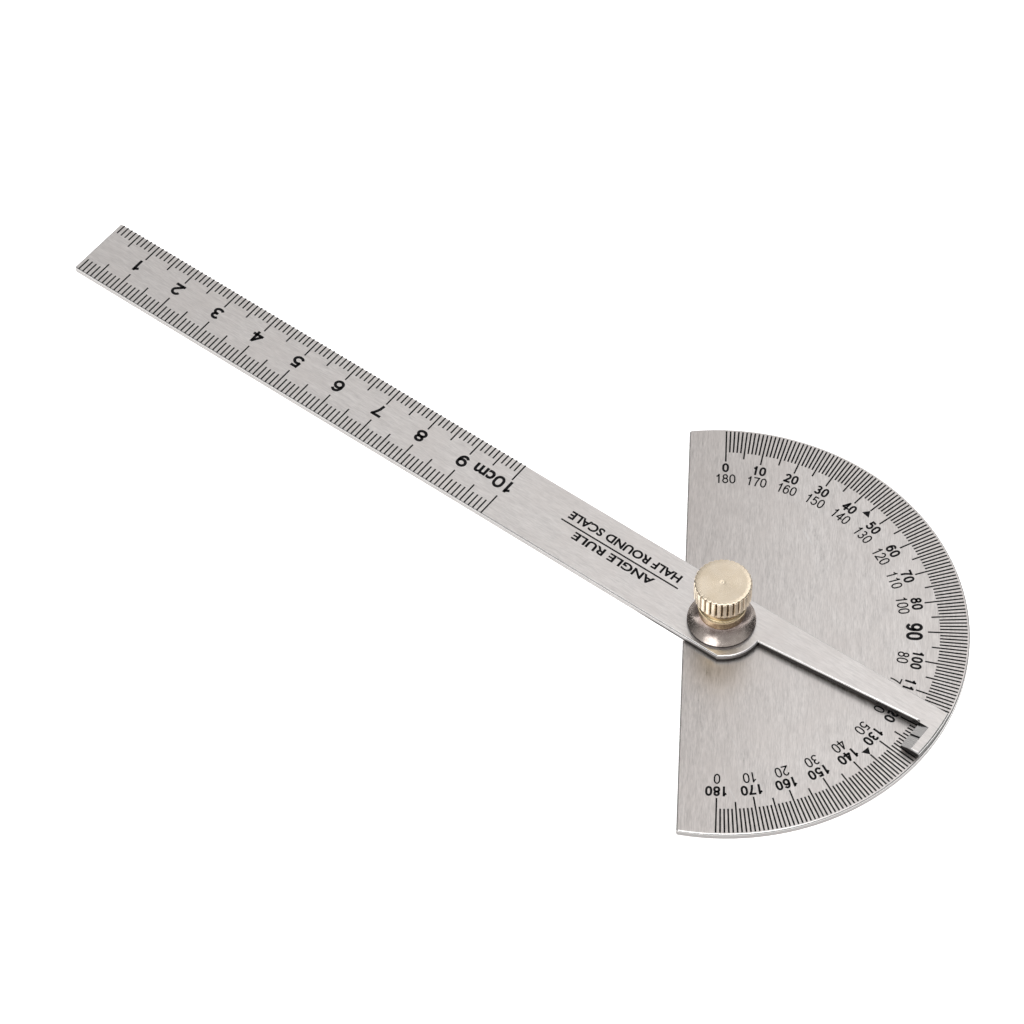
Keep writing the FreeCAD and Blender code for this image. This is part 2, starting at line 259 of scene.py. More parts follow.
def brushed_steel(name, tone, warmth, rough, side_tone_and_shade, grain_turn=0.0, contrast=0.17, edge_strip_darkening=0.0,
                  side_shade_tone=None):
    """Sheet steel ground in one direction. The grain runs along the turned Y axis, and contrast
    says how much it lightens and darkens the steel. The strip beside the plate's straight edge
    can be darkened and browned. The cut sides take a darker tone, partly the duller cut edge and
    partly painted shade, and the rolled edges are lightened as a painted highlight. On the arm
    the sides are darkened further as painted shade where they stand over the plate: the boss's
    lower part, and the pointer all over."""
    finish = Finish(name, Metallic=1.0)
    hair = finish.noise((4800.0, 520.0, 900.0), detail=3.0, turn=grain_turn, roughness=0.75)
    streak = finish.noise((1500.0, 160.0, 400.0), detail=2.0, turn=grain_turn)
    cloud = finish.noise((150.0, 110.0, 90.0), detail=5.0, roughness=0.65)
    scratch = finish.noise((900.0, 70.0, 300.0), detail=1.0, turn=grain_turn + 28)
    scored = finish.span(scratch, 0.74, 0.79)
    grain = finish.maths(
        "ADD", finish.maths("MULTIPLY", hair, 0.7), finish.maths("MULTIPLY", streak, 0.3))
    ground = finish.mix(
        finish.span(grain, 0.38, 0.62), grey(tone * (0.97 - contrast), warmth),
        grey(tone * (0.97 + contrast), warmth))
    dappled = finish.mix(
        finish.span(cloud, 0.35, 0.65, 0.0, 0.5), ground, grey(tone * 0.90, warmth * 1.7))
    # Darkens and browns the strip beside the plate's straight edge.
    if edge_strip_darkening:
        wander = finish.maths(
            "ADD", finish.split(finish.place)["X"], finish.span(cloud, 0.3, 0.7, -0.004, 0.004))
        strip = finish.span(wander, -6 * MM, 14 * MM, edge_strip_darkening, 0.0)
        dappled = finish.mix(strip, dappled, grey(0.72, warmth * 0.8), blend_type="MULTIPLY")
    scarred = finish.mix(finish.maths("MULTIPLY", scored, 0.3), dappled, grey(tone * 1.2))
    upright = finish.maths("ABSOLUTE", finish.split(finish.normal)["Z"])
    # Cut sides take a darker tone of their own: partly the duller cut edge, partly painted shade.
    side = finish.span(upright, 0.12, 0.40, 1.0, 0.0)
    # Rolled edges are lightened in colour as a painted highlight; only their lower roughness is
    # real.
    rolled = finish.maths(
        "MULTIPLY", finish.span(upright, 0.3, 0.6), finish.span(upright, 0.93, 0.995, 1.0, 0.0))
    with_edge_highlight = finish.mix(
        finish.maths("MULTIPLY", rolled, 0.85), scarred, grey(min(tone * 1.35, 0.95)))
    side_colour_and_shade = grey(side_tone_and_shade, warmth)
    # On the arm, the sides that stand over the plate are darkened further as painted shade.
    if side_shade_tone:
        along = finish.split(finish.turned_place(grain_turn))["Y"]
        level = finish.split(finish.place)["Z"]
        shaded_part = finish.maths(
            "MAXIMUM", finish.span(level, SIDE_SHADE_FULL_BELOW * MM, SIDE_SHADE_CLEAR_ABOVE * MM, 1.0, 0.0),
            finish.span(along, POINTER_SIDE_SHADE_SPAN[0] * MM, POINTER_SIDE_SHADE_SPAN[1] * MM))
        side_shade = finish.maths(
            "MULTIPLY", shaded_part, finish.span(along, BOSS_SIDE_SHADE_SPAN[0] * MM, BOSS_SIDE_SHADE_SPAN[1] * MM))
        side_colour_and_shade = finish.mix(side_shade, side_colour_and_shade, grey(side_shade_tone, warmth))
    finish.drive("Base Color", finish.mix(side, with_edge_highlight, side_colour_and_shade))
    matt = finish.maths("ADD", finish.span(grain, 0.3, 0.7, rough - 0.06, rough + 0.07),
                        finish.span(cloud, 0.3, 0.7, -0.03, 0.03))
    finish.drive("Roughness", finish.maths(
        "SUBTRACT", matt, finish.maths("MULTIPLY", rolled, 0.16)))
    ridges = finish.bump(hair, 0.25, 0.012)
    finish.drive("Normal", finish.bump(cloud, 0.4, 0.03, ridges))
    return finish.material


def turned_brass():
    """Pale plated brass: fine turning marks on the faces, and a deeper gold below the knurl, which
    is also darkened there as painted shade. The flute grooves are darkened as painted shade.
    """
    finish = Finish("pale_brass", Metallic=1.0, Anisotropic=0.6)
    finish.drive("Tangent", finish.add(
        "ShaderNodeTangent", direction_type="RADIAL", axis="Z").outputs["Tangent"])
    height = finish.split(finish.place)["Z"]
    below = finish.span(height, (NUT_FOOT + 4.4) * MM, (NUT_FOOT + 5.1) * MM, 1.0, 0.0)
    ring_place = finish.add("ShaderNodeCombineXYZ", {"X": finish.radius(), "Y": height})
    rings = finish.add("ShaderNodeTexNoise", {
        "Vector": ring_place.outputs["Vector"], "Scale": 10500.0, "Detail": 2.0}).outputs["Fac"]
    cloud = finish.noise((420.0, 420.0, 260.0), detail=3.0)
    pale = finish.mix(
        finish.span(cloud, 0.35, 0.65), (0.90, 0.775, 0.605, 1.0), (0.95, 0.835, 0.675, 1.0))
    ringed = finish.mix(finish.span(rings, 0.35, 0.7, 0.0, 0.18), pale, (0.80, 0.68, 0.51, 1.0))
    # Below the knurl the brass is a deeper gold, and darker as painted shade under the knurl's
    # overhang.
    gold_and_shade_below = finish.mix(finish.maths("MULTIPLY", below, 0.9), ringed, (0.72, 0.585, 0.375, 1.0))
    knurled = finish.maths(
        "MULTIPLY", finish.span(height, (NUT_FOOT + 4.9) * MM, (NUT_FOOT + 5.0) * MM),
        finish.span(height, (NUT_TOP - 0.1) * MM, (NUT_TOP - 0.02) * MM, 1.0, 0.0))
    # The flute grooves are darkened as painted shade.
    groove_shade = finish.maths(
        "MULTIPLY", knurled, finish.span(finish.radius(), 4.9 * MM, 5.18 * MM, 0.85, 0.0))
    finish.drive("Base Color", finish.mix(groove_shade, gold_and_shade_below, (0.13, 0.085, 0.05, 1.0)))
    finish.drive("Roughness", finish.maths(
        "ADD", finish.span(rings, 0.3, 0.7, 0.19, 0.29), finish.span(cloud, 0.3, 0.7, -0.03, 0.03)))
    finish.drive("Normal", finish.bump(rings, 0.12, 0.006))
    return finish.material


def tinted_steel():
    """The cup washer's polished steel, darker and browner towards the nut, with its rim's edge
    painted dark as painted shade.
    """
    finish = Finish("polished_steel", Metallic=1.0)
    reach = finish.radius()
    cloud = finish.noise((520.0, 520.0, 520.0), detail=3.0)
    wander = finish.maths("ADD", reach, finish.span(cloud, 0.3, 0.7, -0.0005, 0.0005))
    # Darker and browner towards the nut.
    outwards = finish.span(wander, 4.3 * MM, 5.3 * MM)
    tint = finish.mix(outwards, (0.40, 0.32, 0.29, 1.0), (0.88, 0.78, 0.715, 1.0))
    mottled = finish.mix(finish.span(cloud, 0.45, 0.7, 0.0, 0.6), tint, (0.47, 0.38, 0.355, 1.0))
    upright = finish.maths("ABSOLUTE", finish.split(finish.normal)["Z"])
    # The rim's upright edge is painted near black as painted shade.
    rim_edge_shade = finish.maths(
        "MULTIPLY", finish.span(reach, 6.22 * MM, 6.28 * MM),
        finish.span(upright, 0.2, 0.5, 1.0, 0.0))
    finish.drive("Base Color", finish.mix(rim_edge_shade, mottled, (0.05, 0.04, 0.038, 1.0)))
    scuff = finish.noise((2600.0, 2600.0, 2600.0), detail=2.0)
    finish.drive("Roughness", finish.span(scuff, 0.3, 0.7, 0.16, 0.30))
    finish.drive("Normal", finish.bump(scuff, 0.12, 0.01))
    return finish.material


def turned_steel():
    """The clamp screw and its spacer: lathe rings on plain steel."""
    finish = Finish("screw_steel", Metallic=1.0)
    rings = finish.add("ShaderNodeTexNoise", {
        "Vector": finish.add("ShaderNodeCombineXYZ", {"X": finish.radius()}).outputs["Vector"],
        "Scale": 7000.0, "Detail": 2.0}).outputs["Fac"]
    cloud = finish.noise((300.0, 300.0, 300.0), detail=2.0)
    finish.drive("Base Color", finish.mix(
        finish.span(cloud, 0.35, 0.65), grey(0.50, 0.01), grey(0.60, 0.01)))
    finish.drive("Roughness", finish.span(rings, 0.3, 0.7, 0.26, 0.42))
    finish.drive("Normal", finish.bump(rings, 0.25, 0.01))
    return finish.material


def scale_ink():
    """Matt black fill of the etched marks, slightly uneven."""
    finish = Finish("scale_ink", Specular_IOR_Level=0.15)
    speckle = finish.noise((5200.0, 5200.0, 5200.0), detail=2.0)
    finish.drive("Base Color", finish.mix(
        finish.span(speckle, 0.35, 0.7), (0.003, 0.003, 0.004, 1.0), (0.014, 0.014, 0.016, 1.0)))
    finish.drive("Roughness", finish.span(speckle, 0.3, 0.7, 0.50, 0.68))
    finish.drive("Normal", finish.bump(speckle, 0.3, 0.006))
    return finish.material


# ---------------------------------------------------------------- filled marks


def bar(length, width):
    """A mark lying along X, from the origin outwards."""
    deselect_all()
    bpy.ops.mesh.primitive_cube_add(size=1.0, location=(length / 2 * MM, 0, 0))
    bpy.context.object.scale = (length * MM, width * MM, 2 * INK_HALF * MM)
    bpy.context.view_layer.update()
    return active_piece("bar")


def ruled(name, lengths, stations):
    """One piece of many marks. lengths gives a mark's length by the divisions that it stands for,
    and stations each mark's number and place."""
    masters = {step: bar(length, width) for step, (length, width) in lengths.items()}
    marks = []
    for number, place in stations:
        step = max(step for step in masters if number % step == 0)
        marks.append(copied(masters[step], name, place))
    discard(*masters.values())
    return joined(marks, name)


def degree_place(angle, radius, height=PLATE_TOP):
    """From a mark's own axes to the plate: +X outwards along that degree."""
    return turned(90 - angle) @ shift(radius, 0, height)


def arm_place(reach, across, turn=0.0, height=ARM_TOP):
    """From a mark's own axes to the arm. reach is counted from the rule's free end."""
    return turned(90 - ARM_READING) @ shift(reach - RULE_REACH, across, height) @ turned(turn)


TICK_OUTER = 44.75
TICKS = {1: (5.0, 0.31), 5: (6.4, 0.30), 10: (7.2, 0.30)}


def plate_ticks():
    stations = [(angle, degree_place(angle, TICK_OUTER) @ turned(180)) for angle in range(181)]
    return ruled("degree_marks", TICKS, stations)


RULE_TICKS = {1: (2.35, 0.30), 5: (3.7, 0.30), 10: (4.25, 0.30)}
RULE_TICKS_OPPOSITE = {1: (3.0, 0.30), 5: (4.45, 0.30), 10: (5.0, 0.30)}
RULE_LENGTH = 100
RULE_TICK_EDGE = 6.9


def rule_ticks(name, side, lengths):
    """Millimetre marks that run in from one edge of the rule. side is +1 or -1."""
    stations = [
        (reach, arm_place(reach, side * RULE_TICK_EDGE, turn=-90 * side))
        for reach in range(1, RULE_LENGTH + 1)]
    return ruled(name, lengths, stations)


# ---------------------------------------------------------------- figures and letters


def bow(centre, reach, start, end, steps=12):
    """Points along part of an oval, angles in degrees, clockwise where the end is the lower one."""
    return [
        (centre[0] + reach[0] * math.cos(math.radians(start + (end - start) * step / steps)),
         centre[1] + reach[1] * math.sin(math.radians(start + (end - start) * step / steps)))
        for step in range(steps + 1)]


def numeral_strokes(sign, side, end):
    """Centre lines of a numeral's strokes, in shares of the width and height between the centre
    lines of its outer strokes. side and end are half a stroke's thickness in those shares."""
    if sign == "9":
        return [[(1 - x, 1 - y) for x, y in line] for line in numeral_strokes("6", side, end)]
    return {
        "0": [bow((0.5, 0.62), (0.5, 0.38), 0, 180) + bow((0.5, 0.38), (0.5, 0.38), 180, 360)
              + [(1, 0.62)]],
        "1": [[(0.66, -end), (0.66, 1 + end)], [(0.66, 1.0), (0.52, 0.88), (0.16, 0.74)]],
        "2": [bow((0.49, 0.70), (0.47, 0.30), 170, -32) + [(0.06, 0.03)],
              [(-side, 0), (1 + side, 0)]],
        "3": [bow((0.46, 0.765), (0.42, 0.235), 155, -90),
              bow((0.46, 0.265), (0.5, 0.265), 90, -155),
              [(0.30, 0.53), (0.5, 0.53)]],
        "4": [[(0.76, -end), (0.76, 1 + end)], [(-side, 0.25), (1 + side * 1.5, 0.25)],
              [(0.72, 1.0), (0.02, 0.27)]],
        "5": [[(0.17, 1), (0.95, 1)], [(0.2, 1 + end), (0.09, 0.50)],
              bow((0.46, 0.33), (0.54, 0.33), 138, -158)],
        "6": [bow((0.5, 0.32), (0.5, 0.32), 0, 360, 20), bow((0.55, 0.5), (0.55, 0.5), 195, 40)],
        "7": [[(-side, 1), (1 + side, 1)], [(0.97, 1.0), (0.70, 0.66), (0.50, 0.34), (0.40, -end)]],
        "8": [bow((0.5, 0.77), (0.42, 0.23), 0, 360, 20),
              bow((0.5, 0.27), (0.5, 0.27), 0, 360, 20)],
    }[sign]


def pen_line(points, thickness):
    """A stroke drawn from point to point with square ends, standing half in the steel."""
    deselect_all()
    bpy.ops.mesh.primitive_plane_add(size=0.1 * MM)
    line = active_piece("line")
    edit(line)
    bpy.ops.mesh.select_all(action="SELECT")
    bpy.ops.mesh.merge(type="CENTER")
    bpy.ops.mesh.select_all(action="SELECT")
    bpy.ops.transform.translate(value=(points[0][0] * MM, points[0][1] * MM, -INK_HALF * MM))
    for (x, y), (next_x, next_y) in zip(points, points[1:]):
        bpy.ops.mesh.extrude_region_move(
            TRANSFORM_OT_translate={"value": ((next_x - x) * MM, (next_y - y) * MM, 0)})
    bpy.ops.mesh.select_all(action="SELECT")
    bpy.ops.mesh.remove_doubles(threshold=0.005 * MM)
    bpy.ops.mesh.extrude_region_move(
        TRANSFORM_OT_translate={"value": (0, 0, 2 * INK_HALF * MM)})
    bpy.ops.mesh.select_all(action="SELECT")
    bpy.ops.mesh.normals_make_consistent(inside=False)
    leave_edit()
    wall = line.modifiers.new("thickness", "SOLIDIFY")
    wall.thickness = thickness * MM
    wall.offset = 0.0
    wall.use_even_offset = True
    bpy.ops.object.modifier_apply(modifier=wall.name)
    return line


def numeral(sign, width, height, thickness):
    """One numeral centred on the origin, reading along +X."""
    across, up = width - thickness, height - thickness
    lines = numeral_strokes(sign, thickness / 2 / across, thickness / 2 / up)
    return joined([
        pen_line([((x - 0.5) * across, (y - 0.5) * up) for x, y in line], thickness)
        for line in lines], "numeral")


def thickened(piece):
    """Give a flat mark its two faces and its walls."""
    edit(piece)
    bpy.ops.mesh.select_all(action="SELECT")
    bpy.ops.mesh.remove_doubles(threshold=0.002 * MM)
    bpy.ops.mesh.dissolve_limited(angle_limit=math.radians(2.0))
    bpy.ops.transform.translate(value=(0, 0, -INK_HALF * MM))
    bpy.ops.mesh.extrude_region_move(
        TRANSFORM_OT_translate={"value": (0, 0, 2 * INK_HALF * MM)})
    bpy.ops.mesh.select_all(action="SELECT")
    bpy.ops.mesh.normals_make_consistent(inside=False)
    leave_edit()
    return piece


def lettering(name, words, width, height, weight, place):
    """A line of words fitted into its own width and height. weight thickens its strokes."""
    deselect_all()
    bpy.ops.object.text_add()
    line = bpy.context.object
    line.data.body = words
    line.data.size = 1.0
    line.data.offset = weight
    line.data.resolution_u = 5
    bpy.ops.object.convert(target="MESH")
    line = active_piece(name)
    corners = [vertex.co for vertex in line.data.vertices]
    low = Vector([min(point[axis] for point in corners) for axis in range(2)] + [0])
    high = Vector([max(point[axis] for point in corners) for axis in range(2)] + [0])
    size = high - low
    stretch = Matrix.Diagonal((width * MM / size.x, height * MM / size.y, 1, 1))
    line.data.transform(stretch @ Matrix.Translation(-(low + high) / 2))
    thickened(line)
    line.data.transform(place)
    return line


def figures(name, size, texts):
    """Numbers as one piece. size is (numeral width, height, advance, stroke thickness), and texts
    gives each number and its place: +X along the reading direction, +Y up the numerals."""
    width, height, advance, thickness = size
    masters = {sign: numeral(sign, width, height, thickness)
               for sign in sorted(set("".join(number for number, _ in texts)))}
    pieces = []
    for number, place in texts:
        middle = (len(number) - 1) / 2
        for index, sign in enumerate(number):
            pieces.append(copied(masters[sign], name, place @ shift((index - middle) * advance, 0)))
    discard(*masters.values())
    return joined(pieces, name)


def upright_on_plate(angle, radius):
    """Digits whose tops point outwards at that degree."""
    return degree_place(angle, radius) @ turned(-90)


OUTER_FIGURES = (1.28, 2.1, 1.41, 0.41)
INNER_FIGURES = (1.17, 2.14, 1.33, 0.275)
RIGHT_ANGLE_FIGURES = (1.80, 3.1, 2.0, 0.58)
RULE_FIGURES = (2.2, 2.85, 2.4, 0.58)
OUTER_RADIUS = 36.1
INNER_RADIUS = 33.5
RIGHT_ANGLE_RADIUS = 35.1


def plate_figures():
    tens = [angle for angle in range(0, 181, 10) if angle != 90]
    outer = [(str(angle), upright_on_plate(angle, OUTER_RADIUS)) for angle in tens]
    inner = [(str(180 - angle), upright_on_plate(angle, INNER_RADIUS)) for angle in tens]
    middle = [("90", upright_on_plate(90, RIGHT_ANGLE_RADIUS))]
    return [
        figures("outer_degree_figures", OUTER_FIGURES, outer),
        figures("inner_degree_figures", INNER_FIGURES, inner),
        figures("right_angle_figures", RIGHT_ANGLE_FIGURES, middle)]


def rule_figures():
    """Centimetre numbers that read towards the rule's free end."""
    texts = [
        (str(number), arm_place(number * 10 - 0.15, 0.65, turn=180)) for number in range(1, 10)]
    ten = [("10", arm_place(99.45, 0.85, turn=180))]
    return [
        figures("centimetre_figures", RULE_FIGURES, texts),
        figures("ten_centimetre_figures", RULE_FIGURES, ten)]


ARROW_LENGTH = 1.35
ARROW_WIDTH = 1.75
ARROW_RADIUS = 37.65


def arrowhead(angle):
    """A filled triangle at a half right angle, with its point against the degree mark."""
    deselect_all()
    bpy.ops.mesh.primitive_plane_add(size=1.0)
    bpy.context.object.scale = (ARROW_LENGTH * MM, ARROW_WIDTH * MM, 1.0)
    bpy.context.view_layer.update()
    mark = active_piece("arrow")
    edit(mark)
    select_where(mark, lambda place: place.x > 0)
    bpy.ops.mesh.merge(type="CENTER")
    leave_edit()
    thickened(mark)
    mark.data.transform(degree_place(angle, ARROW_RADIUS))
    return mark


def arm_words():
    """The unit beside the ten, and two lines of words with a rule between them."""
    upside_down = 180
    pieces = [
        lettering("unit_letters", "cm", 4.5, 2.1, 0.03, arm_place(94.7, 1.25, upside_down)),
        lettering("upper_words", "ANGLE RULE", 18.2, 1.8, 0.03,
                  arm_place(125.9, -0.68, upside_down)),
        lettering("lower_words", "HALF ROUND SCALE", 25.2, 1.9, 0.032,
                  arm_place(126.1, 2.83, upside_down))]
    underline = bar(26.7, 0.31)
    underline.name = "words_underline"
    underline.data.transform(arm_place(112.8, 0.95))
    return pieces + [underline]


def pointer_height(reach):
    """Top of the pointer at a distance from the pivot."""
    return ARM_TOP + (reach - BOSS_RADIUS) * math.tan(math.radians(POINTER_LIFT))


INDEX_START = 41.38
INDEX_END = 43.3
INDEX_WIDTH = 0.42


def index_line():
    """The black line across the hook's bevel."""
    brow = HOOK_INNER + BEVEL_WIDTH
    slope = (pointer_height(brow) - pointer_height(HOOK_INNER) + BEVEL_DEPTH) / BEVEL_WIDTH
    line = bar(INDEX_END - INDEX_START, INDEX_WIDTH)
    edit(line)
    select_where(line, lambda place: place.x > INDEX_WIDTH)
    bpy.ops.transform.translate(value=(0, 0, (INDEX_END - INDEX_START) * slope * MM))
    leave_edit()
    line.name = "index_line"
    start_height = pointer_height(brow) - (brow - INDEX_START) * slope
    line.data.transform(turned(90 - ARM_READING) @ shift(INDEX_START, 0, start_height))
    return line


# ---------------------------------------------------------------- turned pieces


def lathe(name, sides, profile):
    """A closed turned piece. The profile is a list of (radius, height), and a radius of 0 at
    either end closes it with a pole."""
    deselect_all()
    rings = [point for point in profile if point[0] > 0]
    radius, height = rings[0]
    bpy.ops.mesh.primitive_circle_add(
        vertices=sides, radius=radius * MM, location=(0, 0, height * MM), fill_type="NOTHING")
    piece = active_piece(name)
    edit(piece)
    bpy.ops.mesh.select_all(action="SELECT")
    for next_radius, next_height in rings[1:]:
        bpy.ops.mesh.extrude_region_move(
            TRANSFORM_OT_translate={"value": (0, 0, (next_height - height) * MM)})
        ratio = next_radius / radius
        bpy.ops.transform.resize(value=(ratio, ratio, 1), center_override=(0, 0, next_height * MM))
        radius, height = next_radius, next_height
    close_pole(piece, rings[-1], profile[-1])
    if profile[0][0] == 0:
        select_ring(piece, rings[0])
        close_pole(piece, rings[0], profile[0])
    bpy.ops.mesh.select_all(action="SELECT")
    bpy.ops.mesh.remove_doubles(threshold=0.002 * MM)
    bpy.ops.mesh.normals_make_consistent(inside=False)
    leave_edit()
    return piece


def select_ring(piece, ring):
    radius, height = ring
    select_where(piece, lambda place: (
        abs(place.z - height) < 0.001 and abs(math.hypot(place.x, place.y) - radius) < 0.002))


def close_pole(piece, ring, pole):
    if pole[0] > 0:
        return
    bpy.ops.mesh.extrude_region_move(
        TRANSFORM_OT_translate={"value": (0, 0, (pole[1] - ring[1]) * MM)})
    bpy.ops.mesh.merge(type="CENTER")


FLUTES = 30
SIDES_PER_FLUTE = 12
FLUTE_PHASE = 5.0               # degrees from +X to a flute
FLUTE_BOTTOM = 4.82             # radius
FLUTE_HALF_ANGLE = 2.8          # degrees
FLUTE_RUN_OUT = 0.45            # below the top, where the flutes get shallow
KNURL_RADIUS = 5.25
KNURL_LOW = 5.0                 # above the nut's foot
TOP_RADIUS = 4.96


def thumb_nut():
    """Fluted head, tapered shoulder, flange and foot, with a blind bore below."""
    top = NUT_TOP - NUT_FOOT
    profile = [
        (0.0, 8.0), (2.05, 7.0), (2.05, 0.25), (2.3, 0.0), (4.08, 0.0), (4.2, 0.12), (4.47, 1.85),
        (4.5, 1.95), (4.5, 2.32), (4.44, 2.42), (4.3, 2.47), (4.2, 2.56), (4.24, 2.7), (4.93, 4.72),
        (4.97, 4.82), (5.19, KNURL_LOW - 0.02), (KNURL_RADIUS, KNURL_LOW + 0.08),
        (KNURL_RADIUS, 6.8), (KNURL_RADIUS, top - 0.30), (5.235, top - 0.22), (5.19, top - 0.14),
        (5.13, top - 0.07), (5.05, top - 0.025), (TOP_RADIUS, top), (4.2, top), (2.4, top),
        (0.75, top), (0.34, top - 0.01), (0.24, top - 0.035), (0.14, top), (0.0, top)]
    raised = [(radius, height + NUT_FOOT) for radius, height in profile]
    nut = lathe("knurled_nut", FLUTES * SIDES_PER_FLUTE, raised)
    flute = 360 / FLUTES

    def depth_share(place):
        """How much of a flute's depth is cut at a place: 1 along its bottom and 0 on the lands."""
        level = place.z - NUT_FOOT
        if level < KNURL_LOW - 0.1 or math.hypot(place.x, place.y) < TOP_RADIUS - 0.02:
            return 0.0
        angle = math.degrees(math.atan2(place.y, place.x))
        off = abs((angle - FLUTE_PHASE + flute / 2) % flute - flute / 2)
        run_out = min(1.0, 0.35 + (NUT_TOP - place.z) / FLUTE_RUN_OUT)
        return max(0.0, 1 - off / FLUTE_HALF_ANGLE) * run_out

    nut.data.transform(turned(FLUTE_PHASE))
    edit(nut)
    shape = bmesh.from_edit_mesh(nut.data)
    for vertex in shape.verts:
        share = depth_share(vertex.co / MM)
        if share > 0.01:
            reach = vertex.co.xy.length / MM
            deepest = min(reach, FLUTE_BOTTOM)
            vertex.co.xy *= (reach + (deepest - reach) * share) / reach
    bmesh.update_edit_mesh(nut.data)
    leave_edit()
    smooth(nut, 28)
    return nut


CUP_SEAT = 4.25                 # radius of the flat that the nut bears on
CUP_RIM = 6.3
CUP_HEIGHT = 2.99               # just clear of the nut's foot
CUP_SHEET = 0.6
CUP_FLARE = 7.0                 # radius of the hollow, seen from the side
CUP_BORE = 2.1


def cup_washer():
    """Sheet pressed to a cup: a flat seat, a hollow flare and a thin rim."""
    seat = Vector((CUP_SEAT, CUP_HEIGHT))
    rim = Vector((CUP_RIM, CUP_SHEET))
    chord = rim - seat
    across = Vector((-chord.y, chord.x)).normalized()
    centre = seat + chord / 2 + across * math.sqrt(CUP_FLARE ** 2 - (chord.length / 2) ** 2)

    def bearing(point):
        return math.degrees(math.atan2(point.y - centre.y, point.x - centre.x)) % 360

    flare = bow(centre, (CUP_FLARE, CUP_FLARE), bearing(seat), bearing(rim), 14)
    inner = CUP_FLARE + CUP_SHEET
    foot_x = centre.x - math.sqrt(inner ** 2 - centre.y ** 2)
    under_x = centre.x - math.sqrt(inner ** 2 - (centre.y - CUP_HEIGHT + CUP_SHEET) ** 2)
    under = bow(centre, (inner, inner), bearing(Vector((foot_x, 0))),
                bearing(Vector((under_x, CUP_HEIGHT - CUP_SHEET))), 12)
    profile = [(CUP_BORE, CUP_HEIGHT - CUP_SHEET), (CUP_BORE, CUP_HEIGHT)]
    profile += flare[:-1]
    profile += [(CUP_RIM - 0.05, CUP_SHEET), (CUP_RIM - 0.01, CUP_SHEET - 0.03),
                (CUP_RIM, CUP_SHEET - 0.07), (CUP_RIM, 0.1), (CUP_RIM - 0.04, 0.02)]
    profile += under
    profile.append(profile[0])
    raised = [(radius, height + WASHER_FOOT) for radius, height in profile]
    washer = lathe("cup_spring_washer", 128, raised)
    smooth(washer, 35)
    return washer


# ---------------------------------------------------------------- camera, light and floor

CAMERA_TARGET = (-39.46, 23.99, 2.1)
CAMERA_DISTANCE = 758.1
CAMERA_TURN = 4.075             # degrees about Z from looking along +Y
CAMERA_DROP = 53.1              # degrees below the horizontal
CAMERA_ROLL = -1.278
CAMERA_LENS = 143.2
CAMERA_SENSOR = 36.0


def add_camera():
    look = Vector((0, math.cos(math.radians(CAMERA_DROP)), -math.sin(math.radians(CAMERA_DROP))))
    look.rotate(Matrix.Rotation(math.radians(CAMERA_TURN), 3, "Z"))
    stand = (Vector(CAMERA_TARGET) - look * CAMERA_DISTANCE) * MM
    bpy.ops.object.camera_add(location=stand)
    camera = bpy.context.object
    level = look.to_track_quat("-Z", "Y").to_matrix()
    roll = Matrix.Rotation(math.radians(CAMERA_ROLL), 3, "Z")
    camera.rotation_euler = (level @ roll).to_euler()
    camera.data.lens = CAMERA_LENS
    camera.data.sensor_width = CAMERA_SENSOR
    camera.data.clip_start = 0.01
    bpy.context.scene.camera = camera


def softbox(name, stand, size, radiance):
    """A square area light that faces the object. radiance is how bright its surface looks."""
    area = bpy.data.lights.new(name, "AREA")
    area.shape = "SQUARE"
    area.size = size
    area.energy = radiance * math.pi * size ** 2
    lamp = bpy.data.objects.new(name, area)
    lamp.location = stand
    lamp.rotation_euler = (-Vector(stand)).to_track_quat("-Z", "Y").to_euler()
    bpy.context.scene.collection.objects.link(lamp)


def graded(nodes, links, value, low, high, to_low, to_high):
    """A smooth change from one brightness to another along one direction of the sky."""
    grade = nodes.new("ShaderNodeMapRange")
    grade.interpolation_type = "SMOOTHSTEP"
    for name, number in (
            ("From Min", low), ("From Max", high), ("To Min", to_low), ("To Max", to_high)):
        grade.inputs[name].default_value = number
    links.new(value, grade.inputs["Value"])
    return grade.outputs["Result"]


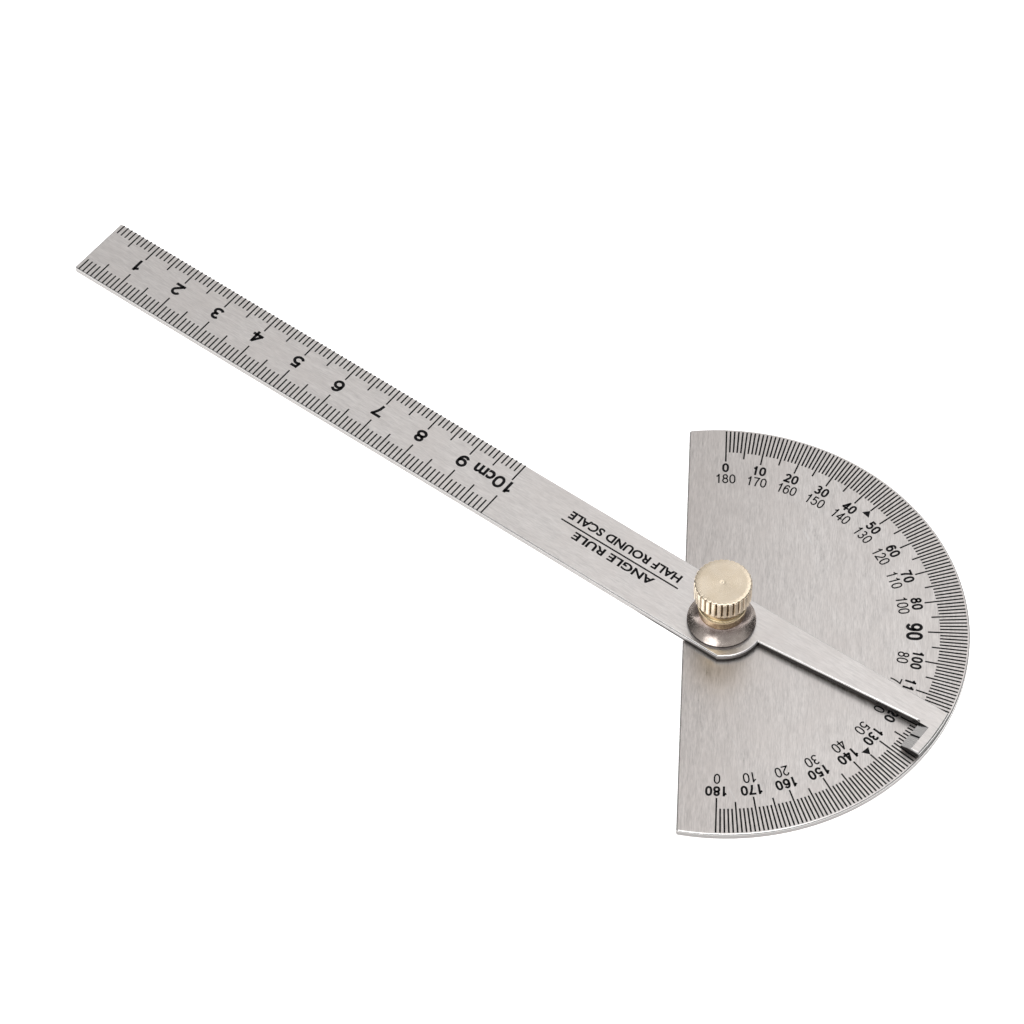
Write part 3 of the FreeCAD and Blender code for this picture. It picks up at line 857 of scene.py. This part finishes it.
def add_light():
    """A white tent that is open and dim in front and at the left, with softboxes around it."""
    world = bpy.data.worlds.new("studio")
    world.use_nodes = True
    nodes, links = world.node_tree.nodes, world.node_tree.links
    split = nodes.new("ShaderNodeSeparateXYZ")
    links.new(nodes.new("ShaderNodeTexCoord").outputs["Generated"], split.inputs["Vector"])
    front = graded(nodes, links, split.outputs["Z"], 0.66, 0.95, 0.34, 0.78)
    wall = graded(nodes, links, split.outputs["X"], -0.95, 0.50, 0.06, 0.95)
    for side, *fade in (("X", 0.15, 0.60, 1.0, 0.06), ("Z", 0.0, 0.5, 0.7, 1.0)):
        dimmed = nodes.new("ShaderNodeMath")
        dimmed.operation = "MULTIPLY"
        links.new(wall, dimmed.inputs[0])
        links.new(graded(nodes, links, split.outputs[side], *fade), dimmed.inputs[1])
        wall = dimmed.outputs["Value"]
    tent = nodes.new("ShaderNodeMix")
    tent.data_type = "FLOAT"
    share = graded(nodes, links, split.outputs["Y"], -0.45, 0.25, 0.0, 1.0)
    links.new(share, tent.inputs["Factor"])
    links.new(front, tent.inputs[2])
    links.new(wall, tent.inputs[3])
    background = nodes["Background"]
    background.inputs["Color"].default_value = (1.0, 0.985, 0.975, 1.0)
    links.new(tent.outputs[0], background.inputs["Strength"])
    bpy.context.scene.world = world
    softbox("back_softbox", (0.50, 0.60, 0.85), 0.75, 0.40)
    softbox("overhead_softbox", (0.0, -0.02, 1.0), 0.62, 1.8)
    softbox("front_left_softbox", (-0.46, -0.78, 0.80), 0.66, 1.5)
    bpy.context.scene.view_settings.view_transform = "Standard"


def add_floor():
    deselect_all()
    bpy.ops.mesh.primitive_plane_add(size=6.0, location=(0, 0, 0))
    floor = active_piece("floor")
    white = Finish("floor_white", Roughness=0.9)
    white.shader.inputs["Base Color"].default_value = (0.9, 0.9, 0.9, 1.0)
    white.shader.inputs["Emission Color"].default_value = (1.0, 1.0, 1.0, 1.0)
    white.shader.inputs["Emission Strength"].default_value = 0.8
    floor.data.materials.append(white.material)


# ---------------------------------------------------------------- the object

add_camera()
add_light()
add_floor()

plate_steel = brushed_steel("plate_steel", 0.71, 0.04, rough=0.34, side_tone_and_shade=0.31, edge_strip_darkening=0.5)
arm_steel = brushed_steel(
    "arm_steel", 0.82, 0.035, rough=0.35, side_tone_and_shade=0.41, grain_turn=-ARM_READING, contrast=0.11,
    side_shade_tone=0.04)
screw_steel = turned_steel()
ink = scale_ink()

for node, material in (("plate", plate_steel), ("rule_arm", arm_steel),
                       ("clamp_screw", screw_steel), ("spacer_washer", screw_steel)):
    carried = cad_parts[node]
    carried.data.materials.clear()
    carried.data.materials.append(material)

finish_piece(thumb_nut(), turned_brass(), "nut", "pale_brass", "thumb_nut")
finish_piece(cup_washer(), tinted_steel(), "washer", "polished_steel", "cup_washer")

finish_piece(plate_ticks(), ink, "plate", "scale_ink")
for piece in plate_figures():
    finish_piece(piece, ink, "plate", "scale_ink")
arrows = joined([arrowhead(45), arrowhead(135)], "half_right_angle_arrows")
finish_piece(arrows, ink, "plate", "scale_ink")

rule_marks = [rule_ticks("rule_marks", 1, RULE_TICKS),
              rule_ticks("rule_marks_opposite", -1, RULE_TICKS_OPPOSITE)]
for piece in rule_marks + rule_figures() + arm_words() + [index_line()]:
    finish_piece(piece, ink, "arm", "scale_ink")
